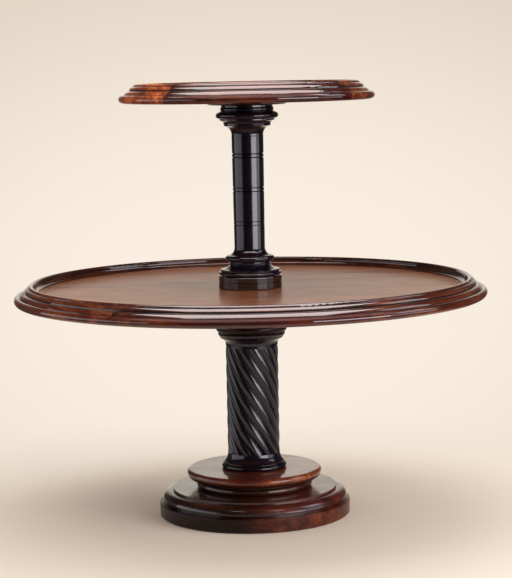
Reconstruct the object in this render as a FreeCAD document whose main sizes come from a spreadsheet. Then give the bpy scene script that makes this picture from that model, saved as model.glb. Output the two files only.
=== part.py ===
"""Two-tier revolving side table: stepped turned foot, spirally reeded lower column,
two dished trays that each turn on the centre line, and a slender upper column.

The document is in millimetres, +Z up, with the origin at the centre of the foot's
underside. Every turned piece is a Body whose outline is a sketch in its own XZ plane,
revolved about the vertical axis. Outline sizes are bound to the sheet Sizes.
"""
import FreeCAD, Part
import math
import os
import re

import Sketcher

HORIZONTAL_AXIS = -1
VERTICAL_AXIS = -2
START_POINT = 1
END_POINT = 2
CENTRE_POINT = 3
ON_AXIS = 1e-9

SIZES = {
    # Small eased edges, grooves and margins that many pieces share.
    "eased_edge": 0.5,
    "fine_groove": 0.4,
    "drill_margin": 0.5,
    # Clearances of the fits.
    "glue_gap": 0.05,
    "running_clearance": 0.08,
    "running_gap": 0.1,
    "washer_clearance": 0.3,
    # Countersunk wood screws.
    "screw_radius": 2.2,
    "screw_head_radius": 4.4,
    "screw_head_height": 3.0,
    # Foot: three turned discs, glued and screwed from below.
    "plinth_radius": 122.0,
    "plinth_height": 18.0,
    "plinth_round": 1.5,
    "recess_margin": 18.0,
    "recess_depth": 2.0,
    "step_height": 17.3,
    "step_radius": 105.0,
    "step_fillet": 3.2,
    "ovolo_inset": 3.5,
    "ovolo_ledge": 2.2,
    "ovolo_rise": 2.6,
    "quirk_inset": 9.0,
    "quirk_height": 4.6,
    "neck_radius": 70.5,
    "neck_bead_height": 9.2,
    "neck_bead_rise": 3.4,
    "neck_fillet": 1.0,
    "cap_quirk_height": 2.0,
    "cap_radius": 86.4,
    "cap_under_round": 8.4,
    "cap_over_round": 4.6,
    "foot_screw_circle": 52.0,
    "foot_screw_count": 6,
    "foot_screw_length": 44.0,
    # Lower column and the wedged tenon that stands in the foot.
    "column_height": 175.0,
    "column_radius": 33.4,
    "tenon_radius": 17.0,
    "tenon_setback": 0.4,
    "wedge_width": 2.6,
    "wedge_taper": 0.25,
    "wedge_depth": 24.0,
    "wedge_inset": 0.5,
    # Its base: two beads under a hollow flare, each projecting from the shaft.
    "foot_bead_projection": 6.0,
    "foot_bead_height": 6.3,
    "foot_bead_rise": 2.1,
    "fine_bead_height": 2.0,
    "fine_bead_rise": 0.9,
    "flare_projection": 4.8,
    "flare_height": 9.9,
    "flare_hollow": 0.9,
    "reed_seat_height": 2.0,
    # Its capital: a short neck, hollow flare, ovolo and a lip round the top.
    "capital_neck_height": 2.4,
    "capital_flare_projection": 4.2,
    "capital_flare_height": 6.4,
    "capital_flare_hollow": 1.1,
    "capital_ovolo_projection": 7.5,
    "capital_ovolo_height": 3.0,
    "capital_ovolo_rise": 0.3,
    "capital_projection": 9.6,
    "capital_lip_height": 5.6,
    "capital_lip_rise": 0.6,
    # Spiral reeds on the shaft.
    "reed_count": 14,
    "reed_depth": 2.3,
    "reed_lead": 307.0,
    "reed_root": 4.0,
    "reed_lip": 0.1,
    "reed_lip_drop": 0.9,
    "ring_groove": 1.1,
    "ring_groove_depth": 1.4,
    # Spigot of the upper column, which holds the column together through the lower tray.
    "spigot_radius": 13.0,
    "spigot_chamfer": 1.5,
    "socket_depth": 32.0,
    "socket_relief": 1.0,
    # Leather washers at the two seats of the lower tray.
    "bearing_washer_radius": 30.0,
    "bearing_washer_height": 1.4,
    "seat_washer_radius": 31.0,
    "seat_washer_height": 0.9,
    # Both trays: board, and a rim with a torus, two stepped members, a top bead and an inner cove.
    "board_height": 13.0,
    "rim_width": 31.0,
    "rim_rebate": 6.0,
    "rim_joint": 0.12,
    "rim_quirk_width": 0.4,
    "rim_quirk_depth": 0.8,
    "torus_height": 10.8,
    "torus_rise": 5.2,
    "low_member_inset": 7.4,
    "low_member_width": 6.2,
    "low_member_height": 4.7,
    "low_member_rise": 1.0,
    "riser_height": 1.5,
    "high_member_height": 4.0,
    "high_member_rise": 0.7,
    "bead_inset": 22.0,
    "bead_radius": 3.3,
    "bead_seat": 21.0,
    "cove_hollow": 1.5,
    "cove_lift": 0.8,
    # Lower tray.
    "lower_tray_radius": 300.0,
    "lower_segment_count": 6,
    "lower_segment_start": 297.0,
    "boss_height": 42.3,
    "boss_foot_radius": 43.6,
    "boss_bead_height": 10.6,
    "boss_bead_rise": 2.4,
    "boss_fillet": 1.8,
    "boss_cove_hollow": 4.6,
    "boss_flange_radius": 70.0,
    "boss_flange_height": 7.0,
    "boss_flange_step": 3.2,
    "boss_flange_rise": 0.7,
    "boss_screw_inset": 12.0,
    "tray_screw_count": 6,
    "tray_screw_bite": 9.0,
    # Turned collar on the lower tray.
    "collar_height": 16.1,
    "collar_radius": 40.2,
    "collar_round": 1.5,
    "collar_line_height": 9.0,
    "collar_line_depth": 0.6,
    # Upper column: its base mouldings, from the bottom up.
    "base_radius": 38.6,
    "base_torus_height": 3.8,
    "base_torus_rise": 1.1,
    "base_lip_radius": 37.6,
    "base_lip_height": 3.1,
    "base_scotia_height": 5.5,
    "base_scotia_hollow": 1.2,
    "waist_radius": 25.4,
    "waist_bead_height": 2.6,
    "waist_bead_rise": 1.3,
    "waist_height": 2.3,
    "knop_foot_radius": 26.7,
    "knop_top_radius": 28.4,
    "knop_height": 7.1,
    "knop_rise": 3.6,
    "sweep_height": 9.6,
    "sweep_hollow": 2.6,
    # Its shaft, with pairs of fine rings.
    "shaft_foot_radius": 19.4,
    "shaft_head_radius": 20.2,
    "shaft_height": 138.0,
    "ring_pair_start": 29.2,
    "ring_pair_gap": 4.6,
    "ring_pair_pitch": 42.7,
    "ring_pair_count": 3,
    "ring_depth": 0.9,
    "ring_half_width": 1.1,
    # Its capital mouldings, from the shaft up.
    "bell_start": 3.0,
    "bell_height": 12.8,
    "bell_radius": 28.2,
    "bell_hollow": 2.8,
    "head_fillet_radius": 29.9,
    "head_fillet_height": 3.6,
    "head_cove_height": 3.6,
    "head_cove_hollow": 0.6,
    "head_band_radius": 34.9,
    "head_band_height": 2.2,
    "head_ovolo_radius": 36.2,
    "head_ovolo_height": 8.0,
    "head_ovolo_rise": 3.5,
    "head_step_height": 1.8,
    "head_neck_radius": 33.0,
    "head_bead_height": 4.4,
    "head_bead_rise": 0.9,
    "head_top_height": 2.6,
    # Upper tray, which lifts off its iron pivot pin.
    "upper_tray_radius": 161.8,
    "upper_segment_count": 4,
    "upper_segment_start": 322.0,
    "plate_radius": 52.0,
    "plate_height": 4.2,
    "plate_bevel": 5.0,
    "plate_bevel_rise": 1.0,
    "plate_screw_circle": 38.0,
    "upper_washer_radius": 26.0,
    "upper_washer_height": 0.5,
    "pin_radius": 6.0,
    "pin_chamfer": 1.0,
    "pin_seat_depth": 34.0,
    "pin_bite": 8.0,
    "pin_relief": 0.8,
}

# How far the middle of a quarter-round of unit radius stands from its chord.
QUARTER_RISE = "(1 - sqrt(0.5))"

# Lengths that are sums of the mouldings they hold.
CAP_HEIGHT = "neck_bead_height + cap_quirk_height + cap_under_round + cap_over_round"
BASE_HEIGHT = ("base_torus_height + base_lip_height + base_scotia_height + waist_bead_height"
               " + waist_height + knop_height + sweep_height")
HEAD_HEIGHT = ("bell_start + bell_height + head_fillet_height + head_cove_height + head_band_height"
               " + head_ovolo_height + head_step_height + head_bead_height + head_top_height")
UPPER_COLUMN_HEIGHT = f"{BASE_HEIGHT} + shaft_height + {HEAD_HEIGHT}"

# Heights of the seats above the floor, from the foot upwards.
RING_BASE = "plinth_height"
CAP_BASE = RING_BASE + " + step_height"
FOOT_TOP = f"{CAP_BASE} + {CAP_HEIGHT}"
COLUMN_TOP = FOOT_TOP + " + column_height"
BOSS_BASE = COLUMN_TOP + " + bearing_washer_height + running_gap"
LOWER_BOARD_BASE = BOSS_BASE + " + boss_height"
COLLAR_BASE = LOWER_BOARD_BASE + " + board_height"
COLLAR_TOP = COLLAR_BASE + " + collar_height"
UPPER_COLUMN_BASE = COLLAR_TOP + " + seat_washer_height + running_gap"
UPPER_COLUMN_TOP = f"{UPPER_COLUMN_BASE} + {UPPER_COLUMN_HEIGHT}"
PLATE_BASE = UPPER_COLUMN_TOP + " + upper_washer_height + running_gap"
UPPER_BOARD_BASE = PLATE_BASE + " + plate_height"

# Lengths and radii that more than one piece shares.
TENON_LENGTH = f"({FOOT_TOP} - recess_depth - tenon_setback)"
SPIGOT_LENGTH = f"({UPPER_COLUMN_BASE} - ({COLUMN_TOP}) + socket_depth - socket_relief)"
SPIGOT_BORE = "spigot_radius + running_clearance"
PIN_BORE = "pin_radius + running_clearance"
WASHER_BORE = "spigot_radius + washer_clearance"
BOSS_SCREW_CIRCLE = "boss_flange_radius - boss_screw_inset"
BOSS_SCREW_LENGTH = "boss_flange_height + tray_screw_bite"
PLATE_SCREW_LENGTH = "plate_height + tray_screw_bite"

doc = FreeCAD.newDocument("TieredSideTable")
sheet = doc.addObject("Spreadsheet::Sheet", "Sizes")
for row, (alias, size) in enumerate(SIZES.items(), start=1):
    sheet.set(f"A{row}", alias)
    sheet.set(f"B{row}", str(size))
    sheet.setAlias(f"B{row}", alias)
doc.recompute()


def value(expression):
    """The number that an expression of sheet names stands for."""
    return float(sheet.evalExpression(str(expression)))


def linked(expression):
    """The same expression with each sheet name written as Sizes.name."""
    return re.sub(r"\b([a-z]+_[a-z_]+)\b", r"Sizes.\1", str(expression))


def origin_plane(body, role):
    for feature in body.Origin.OriginFeatures:
        if feature.Role == role:
            return feature
    raise ValueError(f"{body.Label} has no {role}")


def new_body(label, height="0", turn=None):
    """A Body that stands at a height on the axis, turned about it by an angle in degrees."""
    body = doc.addObject("PartDesign::Body", label)
    body.Label = label
    angle = value(turn) if turn else 0.0
    axis = FreeCAD.Vector(0, 0, 1)
    body.Placement = FreeCAD.Placement(FreeCAD.Vector(0, 0, value(height)), FreeCAD.Rotation(axis, angle))
    body.setExpression(".Placement.Base.z", linked(height))
    if turn:
        body.setExpression(".Placement.Rotation.Angle", linked(turn))
    return body


def new_sketch(body, name, role="XZ_Plane", offset=None):
    sketch = body.newObject("Sketcher::SketchObject", name)
    sketch.AttachmentSupport = [(origin_plane(body, role), "")]
    sketch.MapMode = "FlatFace"
    if offset:
        sketch.AttachmentOffset = FreeCAD.Placement(FreeCAD.Vector(0, 0, value(offset)), FreeCAD.Rotation())
        sketch.setExpression(".AttachmentOffset.Base.z", linked(offset))
    return sketch


def tie(element, point, along, expression):
    """The rule, and its sheet expression, that set one coordinate of a sketch point."""
    size = value(expression)
    distance = "Distance" + along
    if abs(size) < ON_AXIS:
        axis = VERTICAL_AXIS if along == "X" else HORIZONTAL_AXIS
        return Sketcher.Constraint("PointOnObject", element, point, axis), None
    if size > 0:
        rule = Sketcher.Constraint(distance, HORIZONTAL_AXIS, START_POINT, element, point, size)
        return rule, linked(expression)
    rule = Sketcher.Constraint(distance, element, point, HORIZONTAL_AXIS, START_POINT, -size)
    return rule, f"-({linked(expression)})"


def tie_point(element, point, across, up):
    return [tie(element, point, "X", across), tie(element, point, "Y", up)]


def join(element, point, other, other_point):
    return Sketcher.Constraint("Coincident", element, point, other, other_point), None


def add_rules(sketch, rules):
    """Adds every rule in one call, so that the solver never meets a half-tied sketch."""
    first = sketch.ConstraintCount
    sketch.addConstraint([rule for rule, _expression in rules])
    for index, (_rule, expression) in enumerate(rules, start=first):
        if expression:
            sketch.setExpression(f"Constraints[{index}]", expression)


def corner(radius, height):
    return ("corner", radius, height)


def bulge(rise):
    """An arc between the corners before and after it, that rises so far from their chord.

    Outlines run up the outside, where a positive rise swells the piece and a negative one hollows it.
    """
    return ("bulge", rise, None)


def quarter_round(size):
    return bulge(f"{QUARTER_RISE} * {size}")


def arc_middle(start, end, rise):
    """Where an arc passes its chord's middle, as expressions across and up."""
    across = f"(({end[1]}) - ({start[1]}))"
    up = f"(({end[2]}) - ({start[2]}))"
    chord = f"sqrt({across} ^ 2 + {up} ^ 2)"
    return (f"(({start[1]}) + ({end[1]})) / 2 + ({rise}) * {up} / {chord}",
            f"(({start[2]}) + ({end[2]})) / 2 - ({rise}) * {across} / {chord}")


def draw_outline(sketch, outline):
    """Draws a closed outline of lines and arcs and ties every point of it.

    The sketcher counts an arc's ends anticlockwise, so a clockwise arc is drawn backwards.
    """
    corners = [index for index, item in enumerate(outline) if item[0] == "corner"]
    rules = []
    edges = []
    for index, following in zip(corners, corners[1:] + [len(outline)]):
        start = outline[index]
        end = outline[following % len(outline)]
        ends = [FreeCAD.Vector(value(across), value(up), 0) for _kind, across, up in (start, end)]
        backwards = False
        if following - index == 2:
            across, up = arc_middle(start, end, outline[index + 1][1])
            middle = FreeCAD.Vector(value(across), value(up), 0)
            backwards = (middle - ends[0]).cross(ends[1] - ends[0]).z < 0
            if backwards:
                ends.reverse()
            edge = sketch.addGeometry(Part.ArcOfCircle(ends[0], middle, ends[1]))
            guide = sketch.addGeometry(Part.Point(middle), True)
            rules.append((Sketcher.Constraint("PointOnObject", guide, START_POINT, edge), None))
            rules += tie_point(guide, START_POINT, across, up)
        else:
            edge = sketch.addGeometry(Part.LineSegment(*ends))
        first, last = (END_POINT, START_POINT) if backwards else (START_POINT, END_POINT)
        rules += tie_point(edge, first, *start[1:])
        edges.append((edge, first, last))
    for (edge, _first, last), (next_edge, next_first, _last) in zip(edges, edges[1:] + edges[:1]):
        rules.append(join(edge, last, next_edge, next_first))
    add_rules(sketch, rules)


def stacked(start, *heights):
    """The heights that mouldings standing one on another reach, from a start."""
    reached = [start]
    for height in heights:
        reached.append(f"{reached[-1]} + {height}")
    return reached[1:]


def revolve(body, name, outline, kind="Revolution", angle=None):
    """Turns an outline about the body's vertical axis, adding wood or grooving it away."""
    sketch = new_sketch(body, name + "_outline")
    draw_outline(sketch, outline)
    feature = body.newObject("PartDesign::" + kind, name)
    feature.Profile = sketch
    feature.ReferenceAxis = (sketch, ["V_Axis"])
    feature.Angle = value(angle) if angle else 360.0
    if angle:
        feature.setExpression("Angle", linked(angle))
    sketch.Visibility = False
    doc.recompute()
    return feature


def turned(label, height, outline, turn=None, angle=None):
    body = new_body(label, height, turn)
    revolve(body, label + "_turning", outline, angle=angle)
    return body


def around(body, features, count):
    """Repeats cuts or additions evenly about the body's vertical axis."""
    pattern = body.newObject("PartDesign::PolarPattern", body.Label + "_around")
    pattern.Originals = features
    pattern.Axis = (origin_plane(body, "Z_Axis"), [""])
    pattern.Angle = 360.0
    pattern.Occurrences = int(value(count))
    pattern.setExpression("Occurrences", linked(count))
    body.Tip = pattern
    doc.recompute()
    return pattern


def screw_holes(body, circle, count, bottom, depth, countersunk):
    """Holes up from a face at height bottom, on a circle, with countersinks for the heads."""
    hole = body.newObject("PartDesign::SubtractiveCylinder", body.Label + "_screw_hole")
    hole.Radius = value("screw_radius + glue_gap")
    hole.setExpression("Radius", linked("screw_radius + glue_gap"))
    hole.Height = value(depth)
    hole.setExpression("Height", linked(depth))
    place_cut(body, hole, circle, bottom)
    cuts = [hole]
    if countersunk:
        sink = body.newObject("PartDesign::SubtractiveCone", body.Label + "_countersink")
        sink.Radius1 = value("screw_head_radius + glue_gap")
        sink.setExpression("Radius1", linked("screw_head_radius + glue_gap"))
        sink.Radius2 = value("screw_radius + glue_gap")
        sink.setExpression("Radius2", linked("screw_radius + glue_gap"))
        sink.Height = value("screw_head_height")
        sink.setExpression("Height", linked("screw_head_height"))
        place_cut(body, sink, circle, bottom)
        cuts.append(sink)
    around(body, cuts, count)


def place_cut(body, cut, across, up):
    cut.AttachmentSupport = [(origin_plane(body, "XY_Plane"), "")]
    cut.MapMode = "FlatFace"
    cut.AttachmentOffset = FreeCAD.Placement(FreeCAD.Vector(value(across), 0, value(up)), FreeCAD.Rotation())
    cut.setExpression(".AttachmentOffset.Base.x", linked(across))
    cut.setExpression(".AttachmentOffset.Base.z", linked(up))
    doc.recompute()


def wood_screws(label, circle, count, height, length):
    """A ring of countersunk wood screws, heads down, as one node of separate solids."""
    master = new_body(label + "_pattern", "0")
    revolve(master, label + "_shank", [
        corner("0", "0"),
        corner("screw_head_radius", "0"),
        corner("screw_radius", "screw_head_height"),
        corner("screw_radius", length),
        corner("0", length),
    ])
    ring = doc.addObject("Part::Feature", label)
    ring.Label = label
    copies = []
    for index in range(int(value(count))):
        turn = FreeCAD.Rotation(FreeCAD.Vector(0, 0, 1), 360.0 * index / value(count))
        seat = turn.multVec(FreeCAD.Vector(value(circle), 0, 0))
        copy = master.Shape.copy()
        copy.Placement = FreeCAD.Placement(seat, turn)
        copies.append(copy)
    ring.Shape = Part.makeCompound(copies)
    ring.Placement = FreeCAD.Placement(FreeCAD.Vector(0, 0, value(height)), FreeCAD.Rotation())
    return ring


def build_foot():
    """Plinth, stepped ring and cap: the three discs of the foot, with their screws."""
    tenon_hole = "tenon_radius + glue_gap"
    recess_radius = "plinth_radius - recess_margin"
    plinth = turned("foot_plinth", "0", [
        corner(tenon_hole, "recess_depth"),
        corner(recess_radius, "recess_depth"),
        corner(recess_radius, "0"),
        corner("plinth_radius - plinth_round", "0"),
        corner("plinth_radius", "plinth_round"),
        corner("plinth_radius", "plinth_height - plinth_round"),
        quarter_round("plinth_round"),
        corner("plinth_radius - plinth_round", "plinth_height"),
        corner(tenon_hole, "plinth_height"),
    ])
    screw_holes(plinth, "foot_screw_circle", "foot_screw_count", "recess_depth",
                "plinth_height - recess_depth + drill_margin", True)
    ovolo_top = "step_height - step_fillet"
    ring = turned("foot_ring", RING_BASE, [
        corner(tenon_hole, "0"),
        corner("plinth_radius - quirk_inset", "0"),
        corner("plinth_radius - quirk_inset", "quirk_height"),
        corner("plinth_radius - ovolo_inset", "quirk_height + fine_groove"),
        bulge("ovolo_rise"),
        corner("step_radius + ovolo_ledge", ovolo_top),
        corner("step_radius", ovolo_top),
        corner("step_radius", "step_height - eased_edge"),
        corner("step_radius - eased_edge", "step_height"),
        corner(tenon_hole, "step_height"),
    ])
    screw_holes(ring, "foot_screw_circle", "foot_screw_count", "0", "step_height", False)
    quirk_top, under_top = stacked("neck_bead_height", "cap_quirk_height", "cap_under_round")
    cap = turned("foot_cap", CAP_BASE, [
        corner(tenon_hole, "0"),
        corner("neck_radius", "0"),
        bulge("neck_bead_rise"),
        corner("neck_radius + neck_fillet", "neck_bead_height"),
        corner("neck_radius + neck_fillet", f"{quirk_top} - fine_groove"),
        corner("cap_radius - cap_under_round", quirk_top),
        quarter_round("cap_under_round"),
        corner("cap_radius", under_top),
        quarter_round("cap_over_round"),
        corner("cap_radius - cap_over_round", CAP_HEIGHT),
        corner(tenon_hole, CAP_HEIGHT),
    ])
    bite = "foot_screw_length - (plinth_height - recess_depth) - step_height + drill_margin"
    screw_holes(cap, "foot_screw_circle", "foot_screw_count", "0", bite, False)
    screws = wood_screws("foot_screws", "foot_screw_circle", "foot_screw_count", "recess_depth",
                         "foot_screw_length")
    return [plinth, ring, cap, screws]


def reed_section(body, height):
    """The reeded shaft's section: convex reeds side by side, meeting in sharp valleys."""
    count = int(value("reed_count"))
    sketch = new_sketch(body, "reed_section", "XY_Plane", height)
    valley_radius = "column_radius - reed_depth"
    pitch_angle = math.radians(360.0 / count)
    for index in range(count):
        points = []
        for turn, radius in ((-0.5, valley_radius), (0.0, "column_radius"), (0.5, valley_radius)):
            angle = (index + turn) * pitch_angle
            points.append(FreeCAD.Vector(math.cos(angle), math.sin(angle), 0) * value(radius))
        sketch.addGeometry(Part.ArcOfCircle(*points))
    rules = []
    for radius in (valley_radius, "column_radius"):
        circle = Part.Circle(FreeCAD.Vector(), FreeCAD.Vector(0, 0, 1), value(radius))
        guide = sketch.addGeometry(circle, True)
        rules.append(join(guide, CENTRE_POINT, HORIZONTAL_AXIS, START_POINT))
        rules.append((Sketcher.Constraint("Radius", guide, value(radius)), linked(radius)))
    valleys = count
    crests = count + 1
    for index in range(count):
        rules.append(join(index, END_POINT, (index + 1) % count, START_POINT))
        rules.append((Sketcher.Constraint("PointOnObject", index, START_POINT, valleys), None))
        rules.append((Sketcher.Constraint("Tangent", index, crests), None))
    add_rules(sketch, rules)
    return sketch


def build_lower_column():
    """The ebonised lower column: tenon, beaded base, spiral reeds, neck and capital."""
    core = "column_radius - reed_depth - ring_groove"
    bead = "column_radius + foot_bead_projection"
    fine_base, fine_top, flare_top, reeds_low = stacked(
        "foot_bead_height", "fine_groove", "fine_bead_height", "flare_height", "reed_seat_height")
    capital_height = "capital_flare_height + capital_ovolo_height + capital_lip_height"
    flare_base = f"column_height - ({capital_height})"
    reeds_top = f"{flare_base} - capital_neck_height - ring_groove"
    neck_base = f"{flare_base} - capital_neck_height"
    ovolo_base, ovolo_top, lip_base = stacked(
        flare_base, "capital_flare_height", "capital_ovolo_height", "fine_groove")
    ovolo_radius = "column_radius + capital_ovolo_projection"
    column = turned("lower_column", FOOT_TOP, [
        corner("0", f"-{TENON_LENGTH}"),
        corner("tenon_radius", f"-{TENON_LENGTH}"),
        corner("tenon_radius", "0"),
        corner(bead, "0"),
        bulge("foot_bead_rise"),
        corner(bead, "foot_bead_height"),
        corner(f"{bead} - fine_groove", fine_base),
        bulge("fine_bead_rise"),
        corner(f"{bead} - fine_groove", fine_top),
        corner("column_radius + flare_projection", f"{fine_top} + fine_groove"),
        bulge("-flare_hollow"),
        corner("column_radius + reed_lip", flare_top),
        corner("column_radius - reed_lip", f"{reeds_low} - reed_lip_drop"),
        corner("column_radius - reed_lip_drop", reeds_low),
        corner(core, f"{reeds_low} + fine_groove"),
        corner(core, reeds_top),
        corner("column_radius - ring_groove_depth", reeds_top),
        corner("column_radius - ring_groove_depth", neck_base),
        corner("column_radius", f"{neck_base} + fine_groove"),
        corner("column_radius", flare_base),
        bulge("-capital_flare_hollow"),
        corner("column_radius + capital_flare_projection", ovolo_base),
        bulge("capital_ovolo_rise"),
        corner(ovolo_radius, ovolo_top),
        corner(f"{ovolo_radius} - fine_groove", lip_base),
        corner(ovolo_radius, f"{lip_base} + fine_groove"),
        bulge("capital_lip_rise"),
        corner("column_radius + capital_projection", "column_height - eased_edge"),
        corner("column_radius + capital_projection - eased_edge", "column_height"),
        corner("0", "column_height"),
    ])
    carve_reeds(column, f"{reeds_low} - reed_root", reeds_top)
    socket = column.newObject("PartDesign::SubtractiveCylinder", "spigot_socket")
    socket.Radius = value("spigot_radius + glue_gap")
    socket.setExpression("Radius", linked("spigot_radius + glue_gap"))
    socket.Height = value("socket_depth")
    socket.setExpression("Height", linked("socket_depth"))
    place_cut(column, socket, "0", "column_height - socket_depth")
    kerf = new_sketch(column, "wedge_kerf")
    draw_outline(kerf, wedge_outline("0", f"-{TENON_LENGTH}"))
    slot = column.newObject("PartDesign::Pocket", "wedge_slot")
    slot.Profile = kerf
    slot.Type = "ThroughAll"
    slot.Midplane = True
    doc.recompute()
    return column


def carve_reeds(column, low, high):
    """Sweeps the reeded section up the shaft, turning left-handed with the helix beside it."""
    section = reed_section(column, low)
    spine = new_sketch(column, "reed_spine")
    ends = [FreeCAD.Vector(0, value(height), 0) for height in (low, high)]
    line = spine.addGeometry(Part.LineSegment(*ends))
    add_rules(spine, tie_point(line, START_POINT, "0", low) + tie_point(line, END_POINT, "0", high))
    helix = doc.addObject("Part::Helix", "reed_helix")
    helix.LocalCoord = "Left-handed"
    for name, expression in (("Pitch", "reed_lead"), ("Height", f"{high} - ({low})"),
                             ("Radius", "2 * column_radius")):
        setattr(helix, name, value(expression))
        helix.setExpression(name, linked(expression))
    helix.Placement.Base.z = value(low)
    helix.setExpression(".Placement.Base.z", linked(low))
    doc.recompute()
    reeds = column.newObject("PartDesign::AdditivePipe", "spiral_reeds")
    reeds.Profile = section
    reeds.Spine = (spine, ["Edge1"])
    reeds.Mode = "Auxiliary"
    reeds.AuxiliarySpine = (helix, ["Edge1"])
    reeds.AuxiliaryCurvilinear = False
    doc.recompute()


def build_wedge():
    """The wedge that spreads the lower column's tenon in the foot."""
    wedge = new_body("column_wedge", FOOT_TOP)
    plan = new_sketch(wedge, "wedge_outline")
    draw_outline(plan, wedge_outline("glue_gap", f"-{TENON_LENGTH}"))
    pad = wedge.newObject("PartDesign::Pad", "wedge_pad")
    pad.Profile = plan
    pad.Length = value("2 * (tenon_radius - wedge_inset)")
    pad.setExpression("Length", linked("2 * (tenon_radius - wedge_inset)"))
    pad.Midplane = True
    doc.recompute()
    return wedge


def wedge_outline(clearance, bottom):
    """A narrow wedge, wide at the tenon's end, with the same clearance on both sides."""
    half = f"(wedge_width / 2 - {clearance})"
    tip = f"wedge_taper * {half}"
    top = f"{bottom} + wedge_depth - {clearance}"
    return [
        corner(f"-{half}", bottom),
        corner(half, bottom),
        corner(tip, top),
        corner(f"-{tip}", top),
    ]


def washer(label, height, hole, radius, thickness):
    return turned(label, height, [
        corner(hole, "0"),
        corner(radius, "0"),
        corner(radius, thickness),
        corner(hole, thickness),
    ])


def rim_outline(tray_radius):
    """Section of the moulded rim: torus, two swelling members with a riser, top bead, inner cove."""
    def at(inset):
        return f"{tray_radius} - ({inset})"

    board_edge = "rim_width - rim_rebate"
    low_base, low_top, high_base, high_top = stacked(
        "torus_height", "fine_groove", "low_member_height", "riser_height", "high_member_height")
    low_end = "low_member_inset + low_member_width"
    bead_out = "bead_inset - bead_radius"
    bead_in = "bead_inset + bead_radius"
    quirk_floor = "bead_seat - rim_quirk_depth"
    return [
        corner(at(board_edge), "0"),
        corner(at("torus_rise"), "0"),
        bulge("torus_rise"),
        corner(at("torus_rise"), "torus_height"),
        corner(at("low_member_inset - rim_quirk_width"), "torus_height - rim_quirk_depth"),
        corner(at("low_member_inset"), low_base),
        bulge("low_member_rise"),
        corner(at(low_end), low_top),
        corner(at(f"{low_end} + fine_groove"), high_base),
        bulge("high_member_rise"),
        corner(at(f"{bead_out} - rim_quirk_width"), high_top),
        corner(at(f"{bead_out} - rim_quirk_width / 2"), quirk_floor),
        corner(at(bead_out), "bead_seat"),
        bulge("bead_radius"),
        corner(at(bead_in), "bead_seat"),
        corner(at(f"{bead_in} + rim_quirk_width"), quirk_floor),
        bulge("-cove_hollow"),
        corner(at("rim_width"), "board_height + cove_lift"),
        corner(at("rim_width"), "board_height"),
        corner(at(board_edge), "board_height"),
    ]


def build_rim(prefix, tray_radius, count, first_turn, height):
    """The rim is built up of equal arcs, butted end to end round the board."""
    segments = []
    arc = f"360 / {count} - 180 / pi * rim_joint / {tray_radius}"
    for index in range(int(value(count))):
        turn = f"{first_turn} + {index} * 360 / {count}"
        label = f"{prefix}_rim_segment_{index + 1}"
        segments.append(turned(label, height, rim_outline(tray_radius), turn=turn, angle=arc))
    return segments


def board_outline(tray_radius, hole, hole_depth=None):
    edge = f"{tray_radius} - rim_width + rim_rebate - glue_gap"
    outline = [
        corner(hole, "0"),
        corner(edge, "0"),
        corner(edge, "board_height"),
    ]
    if hole_depth is None:
        return outline + [corner(hole, "board_height")]
    return outline + [corner("0", "board_height"), corner("0", hole_depth), corner(hole, hole_depth)]


def build_lower_tray():
    board = turned("lower_tray_board", LOWER_BOARD_BASE, board_outline("lower_tray_radius", SPIGOT_BORE))
    screw_holes(board, BOSS_SCREW_CIRCLE, "tray_screw_count", "0", "tray_screw_bite + drill_margin", False)
    rim = build_rim("lower", "lower_tray_radius", "lower_segment_count", "lower_segment_start",
                    LOWER_BOARD_BASE)
    flange_base = "boss_height - boss_flange_height"
    cove_radius = "boss_foot_radius - boss_fillet"
    flange_radius = "boss_flange_radius - boss_flange_step"
    boss = turned("lower_tray_boss", BOSS_BASE, [
        corner(SPIGOT_BORE, "0"),
        corner("boss_foot_radius", "0"),
        bulge("boss_bead_rise"),
        corner("boss_foot_radius", "boss_bead_height"),
        corner(cove_radius, "boss_bead_height + fine_groove"),
        corner(cove_radius, "boss_bead_height + boss_fillet"),
        bulge("-boss_cove_hollow"),
        corner(flange_radius, f"{flange_base} - eased_edge"),
        corner(flange_radius, flange_base),
        bulge("boss_flange_rise"),
        corner("boss_flange_radius", "boss_height"),
        corner(SPIGOT_BORE, "boss_height"),
    ])
    screw_holes(boss, BOSS_SCREW_CIRCLE, "tray_screw_count", flange_base, "boss_flange_height", True)
    screws = wood_screws("lower_boss_screws", BOSS_SCREW_CIRCLE, "tray_screw_count",
                         f"{BOSS_BASE} + {flange_base}", BOSS_SCREW_LENGTH)
    return [board, *rim, boss, screws]


def build_collar():
    """Turned collar on the lower tray, with one fine line, that the upper column stands on."""
    return turned("lower_tray_collar", COLLAR_BASE, [
        corner(SPIGOT_BORE, "0"),
        corner("collar_radius - collar_round", "0"),
        quarter_round("collar_round"),
        corner("collar_radius", "collar_round"),
        corner("collar_radius", "collar_line_height - collar_line_depth"),
        corner("collar_radius - collar_line_depth", "collar_line_height"),
        corner("collar_radius", "collar_line_height + collar_line_depth"),
        corner("collar_radius", "collar_height - collar_round"),
        quarter_round("collar_round"),
        corner("collar_radius - collar_round", "collar_height"),
        corner(SPIGOT_BORE, "collar_height"),
    ])


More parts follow.
